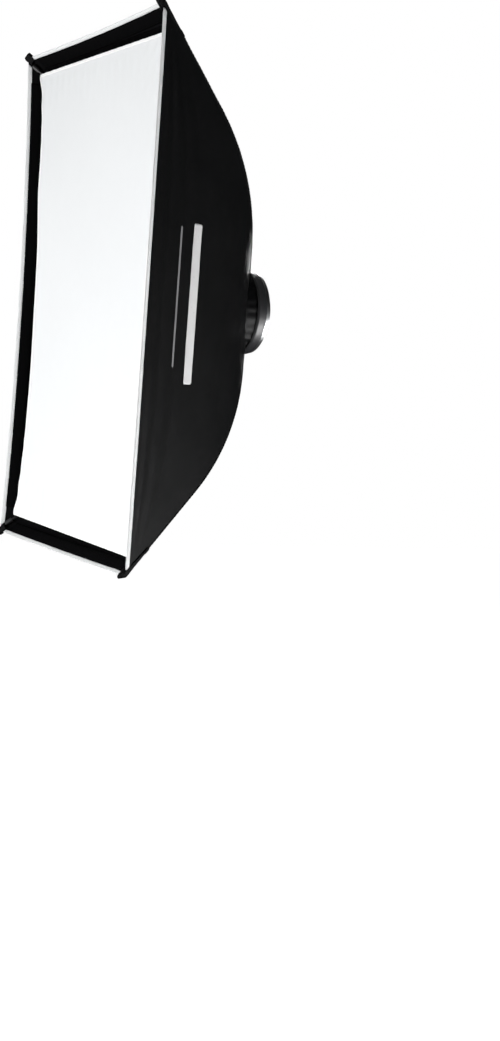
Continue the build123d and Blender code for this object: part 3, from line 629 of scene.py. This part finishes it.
def build_pocket(name, signs):
    """Webbing cap over a rod's tip: a strip along the corner's outside, folded round inside."""
    sign_x, sign_z = signs
    along = np.array((sign_x * WIDTH_SHARE, -math.tan(TIP_ANGLE), sign_z * HEIGHT_SHARE))
    along /= np.linalg.norm(along)
    side_normal = np.array((sign_x * math.tan(TIP_ANGLE), WIDTH_SHARE, 0.0))
    end_normal = np.array((0.0, HEIGHT_SHARE, sign_z * math.tan(TIP_ANGLE)))
    side_normal, end_normal = (n / np.linalg.norm(n) for n in (side_normal, end_normal))
    to_side, to_end = np.cross(along, side_normal), np.cross(along, end_normal)
    to_side *= -sign_z * np.sign(to_side[2])
    to_end *= -sign_x * np.sign(to_end[0])
    tip = np.array((sign_x * HALF_WIDTH, FRONT_Y, sign_z * HALF_HEIGHT))

    outside = np.linspace(POCKET_BACK, 0, POCKET_OUTER_ROWS)
    turn = np.linspace(0, math.pi, POCKET_BEND_ROWS + 2)[1:-1]
    inside = np.linspace(0, POCKET_INSIDE, POCKET_INNER_ROWS)
    angle = np.concatenate([0 * outside, turn, 0 * inside + math.pi])[:, None]
    back = np.concatenate([outside, 0 * turn, inside])[:, None]
    part = np.linspace(-1, 1, POCKET_COLUMNS)[None, :]
    opening = np.clip(1 - back / POCKET_BACK, 0, 1)
    shift = part * np.where(part > 0, 12 + 6 * opening, 3 + 4.5 * opening) * MM
    bend = (1.9 + 3.6 * (1 - part ** 2) ** 0.6) * MM
    lean = (0.5 + 0.5 * np.tanh(shift / (2.4 * MM)))[..., None]
    normal = lean * end_normal + (1 - lean) * side_normal
    normal /= np.linalg.norm(normal, axis=-1, keepdims=True)
    swollen = 0.5 * MM * bump_at(back, 4 * MM, 9 * MM)
    lapped = 0.8 * MM / (1 + np.exp((58 * MM - back) / (0.7 * MM))) * (np.cos(angle) > 0)
    uneven = 0.25 * MM * swell(shift, back + angle * 8 * MM, 0.012, 2 * sign_x + sign_z + 140)
    inset = bend * (1 - np.cos(angle)) - POCKET_LIFT - swollen - lapped - uneven
    ahead = 0.8 * bend * np.sin(angle) - back
    spread = np.where((part > 0)[..., None], to_end, to_side)
    points = (tip + ahead[..., None] * along + np.abs(shift)[..., None] * spread
              - inset[..., None] * normal)
    uvs = grid_uvs(shift, lengths_along(points[:, POCKET_COLUMNS // 2])[:, None])
    outer_faces = (POCKET_OUTER_ROWS - 1) * (POCKET_COLUMNS - 1)
    faces = grid_faces(len(points), POCKET_COLUMNS)
    points = points.reshape(-1, 3)
    faces = facing(points, faces, side_normal + end_normal, judged=outer_faces)
    piece = new_piece(f"pocket_{name}", points, faces, uvs, [WEBBING])
    thicken(piece, POCKET_THICKNESS, even=False)
    finish_piece(piece, "webbing", f"corner_pocket_{name}")


def tube_along(path, radius, sides, squash=1.0):
    """Points and faces of a capped tube round a path of points; squash flattens it across."""
    tangent = np.gradient(path, axis=0)
    tangent /= np.linalg.norm(tangent, axis=1, keepdims=True)
    first = np.cross(AHEAD, tangent)
    first /= np.linalg.norm(first, axis=1, keepdims=True)
    second = np.cross(first, tangent)
    turn = np.arange(sides) * TURN / sides
    ring = (np.cos(turn)[None, :, None] * first[:, None, :] * squash
            + np.sin(turn)[None, :, None] * second[:, None, :])
    points = (path[:, None, :] + radius[:, None, None] * ring).reshape(-1, 3)
    return points, capped_tube_faces(len(path), sides)


def corner_path(signs, inset, radii, wander):
    """Points along a corner of the cloth box, so far inside it, moved by wander each way."""
    slope = corner_slope(radii)
    steep = np.hypot(1, slope)
    out = radii - inset * slope / steep
    y = corner_y(radii) - inset / steep
    path = np.stack([signs[0] * WIDTH_SHARE * out, y, signs[1] * HEIGHT_SHARE * out], 1)
    return path + wander[:, None]


def build_seam(name, signs):
    """Felled seam of two walls: a bead outside and the allowance standing inward."""
    radii = np.linspace(CUT_RADIUS + 2 * MM, DIAGONAL - 8 * MM, 220)
    wander = 0.2 * MM * swell(radii, radii * 0, 0.03, sum(signs) + 110)
    thickness = 1.25 * MM + 0.25 * MM * np.sin(radii / (3.2 * MM) * TURN)
    bead, faces = tube_along(corner_path(signs, 0.3 * MM, radii, wander), thickness, 10)
    radii = np.linspace(104 * MM, DIAGONAL - 22 * MM, 160)
    wander = 0.4 * MM * swell(radii, radii * 0, 0.04, 120)
    thickness = 1.5 * MM + 0 * radii
    allowance, more = tube_along(corner_path(signs, 3.4 * MM, radii, wander), thickness, 8, 0.4)
    faces = faces + shifted(more, len(bead))
    points = np.concatenate([bead, allowance])
    piece = new_piece(f"seam_{name}", points, faces, points[:, [1, 2]], [NYLON])
    finish_piece(piece, "wall_cloth", f"corner_seam_{name}")


for name, signs in CORNERS.items():
    build_pocket(name, signs)
    build_seam(name, signs)


# Front diffuser

DIFFUSER_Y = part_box("front_diffuser")[0].y
DIFFUSER_HALF_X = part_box("front_diffuser")[1].x
DIFFUSER_HALF_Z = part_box("front_diffuser")[1].z
DIFFUSER_THICKNESS = 0.5 * MM
# How far each side of the front diffuser bows inward, left and right
SIDE_BOW = {-1: 38 * MM, 1: 27 * MM}
EAR = 3 * MM
FRONT_COLUMNS = 110
FRONT_ROWS = 150
HEM_THICKNESS = 0.8 * MM
HEM_LIFT = -0.1 * MM
HOOK_BACK = 2.6 * MM
# Section of a doubled tape: share of its width, share of its thickness
RIBBON = np.array([(-0.5, 0.3), (-0.47, 0.85), (-0.4, 1.0), (0.4, 1.0), (0.47, 0.85), (0.5, 0.3),
                   (0.47, 0.0), (-0.47, 0.0)])


def diffuser_edge(sign, z):
    """Half width of the front diffuser at a height: its sides bow inward, unevenly."""
    share = np.clip(np.abs(z) / DIFFUSER_HALF_Z, 0, 1)
    bow = SIDE_BOW[sign] * (1 - share ** 3.2)
    slack = 11 * MM * bump_at(z, 195 * MM, 75 * MM) - 3 * MM * bump_at(z, -150 * MM, 90 * MM)
    slack = slack * (0.6 if sign > 0 else 1)
    ear = EAR * bump_at(share * DIFFUSER_HALF_Z, DIFFUSER_HALF_Z, 14 * MM)
    uneven = 0.9 * MM * (1 - share ** 4) * swell(z, z * 0, 0.09, 5)
    return DIFFUSER_HALF_X - bow + slack + ear + uneven


def diffuser_depth(x, z):
    """Depth of the front diffuser: a shallow sag, and ripples near its hems."""
    across, along = x / DIFFUSER_HALF_X, z / DIFFUSER_HALF_Z
    from_side = (1 - np.abs(across)) * DIFFUSER_HALF_X
    from_end = DIFFUSER_HALF_Z - np.abs(z)
    sag = 3.5 * MM * (1 - across ** 2) * (1 - along ** 2)
    ripple = np.sin(x / (31 * MM) * TURN + 2.2 * swell(x, z * 0, 0.15, 6)) * np.exp(-from_end / 0.07)
    pull = np.sin((from_side - from_end) / (36 * MM) * TURN) * np.exp(-(from_side + from_end) / 0.08)
    relief = 1.0 * MM * ripple + 1.4 * MM * pull + 0.7 * MM * swell(x, z, 0.2, 7)
    return DIFFUSER_Y + sag + relief * np.clip(from_end / (8 * MM), 0, 1)


def front_place(x, z):
    """Points of the front diffuser; it hangs a little lower on its right side."""
    hang = -2.2 * MM - 4.3 * MM * x / DIFFUSER_HALF_X
    return np.stack(np.broadcast_arrays(x, diffuser_depth(x, z), z * 1.006 + hang), -1)


def build_front_cloth():
    z = np.linspace(-DIFFUSER_HALF_Z, DIFFUSER_HALF_Z, FRONT_ROWS)[:, None]
    part = np.linspace(-1, 1, FRONT_COLUMNS)[None, :]
    x = part * np.where(part < 0, diffuser_edge(-1, z), diffuser_edge(1, z))
    points = front_place(x, z).reshape(-1, 3)
    faces = facing(points, grid_faces(FRONT_ROWS, FRONT_COLUMNS), AHEAD)
    cloth = new_piece("diffuser_front", points, faces, points[:, [0, 2]], [DIFFUSER])
    thicken(cloth, DIFFUSER_THICKNESS)
    finish_piece(cloth, "diffuser_cloth", "front_diffuser")
    return cloth


def ribbon(name, path, beside, width, thickness, lift, look, slot, *nodes):
    """A flat doubled tape centred on a path, standing lift in front of it."""
    across, ahead = RIBBON[:, :1], RIBBON[:, 1:]
    points = (path[:, None, :] + beside[:, None, :] * across * width
              + AHEAD * (lift + ahead * thickness)).reshape(-1, 3)
    faces = facing_out(points, capped_tube_faces(len(path), len(RIBBON)))
    uvs = grid_uvs(lengths_along(path)[:, None], RIBBON[:, 0] * width)
    piece = new_piece(name, points, faces, uvs, [look])
    finish_piece(piece, slot, *nodes)
    return piece


def side_hem(side, sign):
    """White hem along a bowed side of the front diffuser."""
    z = np.linspace(-DIFFUSER_HALF_Z, DIFFUSER_HALF_Z, 160)
    path = front_place(sign * (diffuser_edge(sign, z) - 2.4 * MM), z)
    beside = np.tile((1.0, 0.0, 0.0), (len(z), 1))
    return ribbon(f"hem_{side}", path, beside, 5 * MM, HEM_THICKNESS, HEM_LIFT, HEM_WHITE,
                  "diffuser_hem", f"diffuser_hem_{side}")


def end_hem(side, sign):
    """White hem along the top or bottom of the front diffuser."""
    x = np.linspace(-DIFFUSER_HALF_X + 1 * MM, DIFFUSER_HALF_X - 1 * MM, 140)
    path = front_place(x, sign * (DIFFUSER_HALF_Z - 2.6 * MM) + 0 * x)
    beside = np.tile((0.0, 0.0, 1.0), (len(x), 1))
    return ribbon(f"hem_{side}", path, beside, 5.4 * MM, HEM_THICKNESS, HEM_LIFT, HEM_WHITE,
                  "diffuser_hem")


def hook_tape(side, sign):
    """Black tape behind an end hem, that reaches on from it to the loop tape."""
    low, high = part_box(f"diffuser_hem_{side}")
    x = np.linspace(low.x, high.x, 140)
    inner = front_place(x, sign * DIFFUSER_HALF_Z + 0 * x)[:, 2] - sign * 2 * MM
    outer = (high.z if sign > 0 else low.z) + 0.6 * (inner - sign * (DIFFUSER_HALF_Z + 0.5 * MM))
    depth = diffuser_depth(x, sign * (DIFFUSER_HALF_Z - 2 * MM)) + HOOK_BACK
    path = np.stack([x, depth, (inner + outer) / 2], 1)
    beside = np.stack([0 * x, 0 * x, np.abs(outer - inner)], 1)
    return ribbon(f"hook_tape_{side}", path, beside, 1.0, 2 * MM, 0.0, HOOK_TAPE,
                  "hook_tape", f"diffuser_hem_{side}")


front_cloth = build_front_cloth()
front_trim = [side_hem("right", 1), side_hem("left", -1)]
for side, sign in (("top", 1), ("bottom", -1)):
    front_trim += [end_hem(side, sign), hook_tape(side, sign)]


# Inner diffuser with its straps

INNER_LOW, INNER_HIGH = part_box("inner_diffuser")
INNER_Y = (INNER_LOW.y + INNER_HIGH.y) / 2
INNER_X = INNER_HIGH.x
INNER_Z = INNER_HIGH.z
INNER_COLUMNS = 70
INNER_ROWS = 100
STRAP_WIDTH = 25 * MM
STRAP_LAP = 14 * MM
STRAP_GAP = 0.9 * MM
STRAP_RINGS = 40
STRAP_COLUMNS = 9


def scallop(share):
    """Dip of the inner diffuser's edge away from its straps, at a share of its half length."""
    return 4 * MM * (1 - bump_at(np.abs(share), 0.5, 0.22))


def inner_shape(u, v):
    """Points of the inner diffuser for u and v from -1 to 1: its edges dip between straps."""
    x = u * INNER_X - u * np.abs(u) ** 5 * scallop(v)
    z = v * INNER_Z - v * np.abs(v) ** 5 * scallop(u)
    y = INNER_Y + 1.2 * MM * swell(x, z, 0.16, 9) * (1 - u ** 6) * (1 - v ** 6)
    return np.stack([x, y, z], -1)


def build_inner_diffuser():
    u, v = np.meshgrid(np.linspace(-1, 1, INNER_COLUMNS), np.linspace(-1, 1, INNER_ROWS))
    points = inner_shape(u, v).reshape(-1, 3)
    faces = facing(points, grid_faces(INNER_ROWS, INNER_COLUMNS), AHEAD)
    cloth = new_piece("diffuser_inner", points, faces, points[:, [0, 2]], [DIFFUSER])
    thicken(cloth, DIFFUSER_THICKNESS)
    finish_piece(cloth, "diffuser_cloth", "inner_diffuser")
    wide, tall = np.linspace(-1, 1, 60), np.linspace(-1, 1, 80)
    u = np.concatenate([wide, 0 * tall + 1, -wide, 0 * tall - 1])
    v = np.concatenate([0 * wide - 1, tall, 0 * wide + 1, -tall])
    path = inner_shape(u * 0.985, v * 0.99)
    moved = np.linalg.norm(np.diff(path, axis=0), axis=1) > 1e-6
    path = path[np.concatenate([[True], moved])]
    beside = np.cross(AHEAD, np.roll(path, -1, 0) - np.roll(path, 1, 0))
    beside /= np.linalg.norm(beside, axis=1, keepdims=True)
    trim = ribbon("inner_hem", path, beside, 7 * MM, 0.9 * MM, -1.0 * MM, HEM_WHITE,
                  "diffuser_hem")


def build_inner_straps(side):
    """Two elastic straps from the inner diffuser to a wall, narrower where they stretch."""
    low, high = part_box(f"inner_straps_{side}")
    outward = np.array(WALLS[side][0], float)
    lateral = np.abs(np.array(WALLS[side][1], float))
    edge, spread = (INNER_X, INNER_Z / 2) if has_long_edge(side) else (INNER_Z, INNER_X / 2)
    depth = (low.y + high.y) / 2
    radii = np.linspace(0.15, 0.5, 800)
    radius = radii[np.argmin(np.abs(corner_y(radii) - depth))]
    part = np.linspace(0, 1, STRAP_RINGS)[:, None]
    share = np.linspace(-1, 1, STRAP_COLUMNS)[None, :]
    cross = share * STRAP_WIDTH * (1 - 0.14 * np.sin(part * math.pi)) / 2
    y = depth + 0.6 * MM * np.sin(part * math.pi) * (1 - share ** 2)
    points, faces, uvs = [], [], []
    for sign in (1, -1):
        across = sign * spread / (WALLS[side][3] * radius)
        relief = wall_relief(side, np.array([across]), np.array([radius]))
        wall = wall_point(side, [across], [radius], WALL_THICKNESS, relief)[0] @ outward
        length = wall - (edge - STRAP_LAP)
        out = edge - STRAP_LAP + part * (length - STRAP_GAP)
        run = sign * spread + cross
        sheet = out[..., None] * outward + run[..., None] * lateral - y[..., None] * AHEAD
        faces += shifted(grid_faces(STRAP_RINGS, STRAP_COLUMNS), len(points))
        points += list(sheet.reshape(-1, 3))
        uvs += list(grid_uvs(part * length, cross))
    faces = facing(points, faces, AHEAD)
    piece = new_piece(f"straps_{side}", points, faces, uvs, [ELASTIC])
    thicken(piece, 1.0 * MM)
    finish_piece(piece, "strap_elastic", f"inner_straps_{side}")


build_inner_diffuser()
for side in WALLS:
    build_inner_straps(side)


# Collar and its strap

SLEEVE_RADIUS = 77.2 * MM
SLEEVE_THICKNESS = 0.85 * MM
SLEEVE_TUCK = 3 * MM
SLEEVE_GATHERS = 26
LAP_HALF = 17.5 * MM
LAP_RISE = 1.35 * MM


def around(name, section_of, columns, look, slot, node_name):
    """A closed piece turned round the Y axis whose section varies with the angle."""
    angle = np.arange(columns) * TURN / columns
    rings = [section_of(a) for a in angle]
    points = [(r * math.sin(a), y, r * math.cos(a)) for a, ring in zip(angle, rings)
              for r, y in ring]
    uvs = grid_uvs(angle[:, None] * CUT_RADIUS, lengths_along(np.array(rings[0])))
    faces = grid_faces(columns, len(rings[0]), closed_rows=True, closed_columns=True)
    piece = new_piece(name, points, facing_out(points, faces), uvs, [look])
    finish_piece(piece, slot, node_name)


def collar_section(angle):
    """Section of the sleeve: rolled hem behind, gathers, and its edge under the walls."""
    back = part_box("rear_collar")[1].y
    at = np.array([angle])
    gather = float(np.sin(at * SLEEVE_GATHERS + 2 * swell(at, at * 0, 0.6, 131))[0])
    cut = CUT_RADIUS * max(abs(math.sin(angle)) / WIDTH_SHARE, abs(math.cos(angle)) / HEIGHT_SHARE)
    front = float(corner_y(cut)) - SLEEVE_TUCK
    outer = []
    for part in np.linspace(0, 1, 20):
        bulge = 0.55 * MM * gather * math.sin(part * math.pi) + 0.5 * MM * bump_at(part, 0, 0.12)
        outer.append((SLEEVE_RADIUS + bulge, back + (front - back) * part))
    return outer + [(r - SLEEVE_THICKNESS, y) for r, y in reversed(outer)]


def strap_section(angle):
    """Section of the collar strap, thicker under its lapped end."""
    low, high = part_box("collar_strap")
    wrapped = abs((angle + math.pi) % TURN - math.pi) * 79 * MM
    inner = 77.7 * MM
    outer = 79.1 * MM + LAP_RISE / (1 + math.exp((wrapped - LAP_HALF) / (0.35 * MM)))
    half, mid = (high.y - low.y) / 2, (high.y + low.y) / 2
    return [(inner, mid + half * 0.9), (inner + 0.5 * MM, mid + half),
            (outer - 0.4 * MM, mid + half), (outer, mid + half * 0.85), (outer + 0.1 * MM, mid),
            (outer, mid - half * 0.85), (outer - 0.4 * MM, mid - half),
            (inner + 0.5 * MM, mid - half), (inner, mid - half * 0.9)]


around("collar_sleeve", collar_section, 240, NYLON, "wall_cloth", "rear_collar")
around("sleeve_strap", strap_section, 360, STRAP, "webbing", "collar_strap")


# Plain marks printed on the near wall

MARK_COLUMNS = 90
MARK_ROWS = 14
MARK_CORNER = 2.5 * MM
PRINT_THICKNESS = 0.1 * MM
PRINT_LIFT = 0.12 * MM


def build_mark(name, radius, low, high, width, look):
    """A printed bar that lies on the right wall, with rounded corners."""
    run = low + (high - low) * np.linspace(0, 1, MARK_COLUMNS)[None, :]
    cross = np.linspace(-1, 1, MARK_ROWS)[:, None]
    rounding = min(width / 2, MARK_CORNER)
    from_end = np.minimum(np.minimum(run - low, high - run), rounding)
    trimmed = rounding - np.sqrt(np.maximum(rounding ** 2 - (rounding - from_end) ** 2, 0))
    offset = cross * (width / 2 - trimmed)
    radii = radius + offset / np.hypot(WIDTH_SHARE, corner_slope(radius))
    across = run / (HEIGHT_SHARE * radii)
    relief = wall_relief("right", across, radii)
    points = wall_point("right", across, radii, -PRINT_LIFT, relief).reshape(-1, 3)
    faces = facing(points, grid_faces(MARK_ROWS, MARK_COLUMNS), WALLS["right"][0])
    piece = new_piece(name, points, faces, grid_uvs(run, radii), [look])
    thicken(piece, PRINT_THICKNESS)
    finish_piece(piece, "wall_cloth")


build_mark("mark_bar", 419 * MM, -138 * MM, 126 * MM, 24 * MM, PRINT_LIGHT)
build_mark("mark_line", 460 * MM, -112 * MM, 118 * MM, 5.5 * MM, PRINT_GREY)


# CAD nodes that stay, with better materials
KEPT = {
    ALUMINIUM: ["bayonet_adapter"],
    WASHER: ["friction_washer"],
    STEEL: ["retaining_ring", "lock_screw"] + [f"rod_ferrule_{name}" for name in CORNERS],
    DARK_STEEL: ["retaining_screws", "socket_screws"],
    POWDER: ["speed_ring"],
    BRASS: ["clamp_pad", "strap_snaps"],
    PLASTIC: ["lock_knob"] + [f"rod_tip_{name}" for name in CORNERS],
    FIBRE: RODS,
}
for look, names in KEPT.items():
    for name in names:
        NODES[name].data.materials.clear()
        NODES[name].data.materials.append(look)


# Studio: camera, pale floor, white surroundings, soft lights

CAMERA_PLACE = (2.516, -1.358, -0.123)
CAMERA_AZIMUTH = 61.08
CAMERA_ELEVATION = 5.24
CAMERA_ROLL = 4.3
CAMERA_LENS = 52.83
FLOOR_HALF = 6.0
FLOOR_HEIGHT = -1.18
# Each light: place, target, side and power
LIGHTS = {
    "front_fill": ((0.2, -2.5, -1.15), (0, -0.35, -0.05), 2.0, 162),
    "low_key": ((1.2, 0.9, -1.2), (0.2, -0.1, -0.1), 0.8, 100),
    "back_low": ((0.3, 2.4, -1.5), (0.2, 0, -0.25), 1.2, 8),
    "back_fill": ((-2.6, 1.4, 0.9), (0, 0, 0), 1.6, 150),
    "top_fill": ((-0.4, -0.4, 2.6), (0, 0, 0), 1.6, 30),
}


def make_camera():
    """The camera, set by its place and the way it looks in degrees."""
    turn, rise, tilt = (math.radians(a) for a in (CAMERA_AZIMUTH, CAMERA_ELEVATION, CAMERA_ROLL))
    back = Vector((math.sin(turn) * math.cos(rise), -math.cos(turn) * math.cos(rise),
                   math.sin(rise)))
    level = (-back).cross(Vector((0, 0, 1))).normalized()
    upright = level.cross(-back)
    right = math.cos(tilt) * level + math.sin(tilt) * upright
    up = math.cos(tilt) * upright - math.sin(tilt) * level
    data = bpy.data.cameras.new("camera")
    data.lens = CAMERA_LENS
    data.sensor_width = 36
    camera = bpy.data.objects.new("camera", data)
    rows = [(right[i], up[i], back[i], CAMERA_PLACE[i]) for i in range(3)]
    camera.matrix_world = Matrix(rows + [(0, 0, 0, 1)])
    bpy.context.scene.collection.objects.link(camera)
    bpy.context.scene.camera = camera


def make_world():
    world = bpy.data.worlds.new("studio")
    bpy.context.scene.world = world
    world.use_nodes = True
    background = world.node_tree.nodes["Background"]
    background.inputs["Color"].default_value = (1, 1, 1, 1)
    background.inputs["Strength"].default_value = 1.0
    world.cycles_visibility.diffuse = False
    world.cycles_visibility.glossy = False
    world.cycles_visibility.transmission = False


def make_floor():
    signs = ((-1, -1), (1, -1), (1, 1), (-1, 1))
    mesh = bpy.data.meshes.new("floor")
    mesh.from_pydata([(x * FLOOR_HALF, y * FLOOR_HALF, FLOOR_HEIGHT) for x, y in signs], [],
                     [(0, 1, 2, 3)])
    floor = bpy.data.objects.new("floor", mesh)
    bpy.context.scene.collection.objects.link(floor)
    material = bpy.data.materials.new("floor_pale")
    material.use_nodes = True
    shader = material.node_tree.nodes["Principled BSDF"]
    shader.inputs["Base Color"].default_value = (0.9, 0.9, 0.9, 1)
    shader.inputs["Roughness"].default_value = 1.0
    shader.inputs["Emission Color"].default_value = (1, 1, 1, 1)
    shader.inputs["Emission Strength"].default_value = 1.0
    mesh.materials.append(material)
    floor.visible_diffuse = False
    floor.visible_glossy = False


def soft_light(name, place, target, side, power):
    data = bpy.data.lights.new(name, "AREA")
    data.shape = "SQUARE"
    data.size = side
    data.energy = power
    light = bpy.data.objects.new(name, data)
    light.location = place
    light.rotation_mode = "QUATERNION"
    light.rotation_quaternion = (Vector(target) - Vector(place)).to_track_quat("-Z", "Y")
    light.visible_camera = False
    bpy.context.scene.collection.objects.link(light)


make_camera()
make_world()
make_floor()
bpy.context.scene.view_settings.view_transform = "Standard"
for name, settings in LIGHTS.items():
    soft_light(name, *settings)
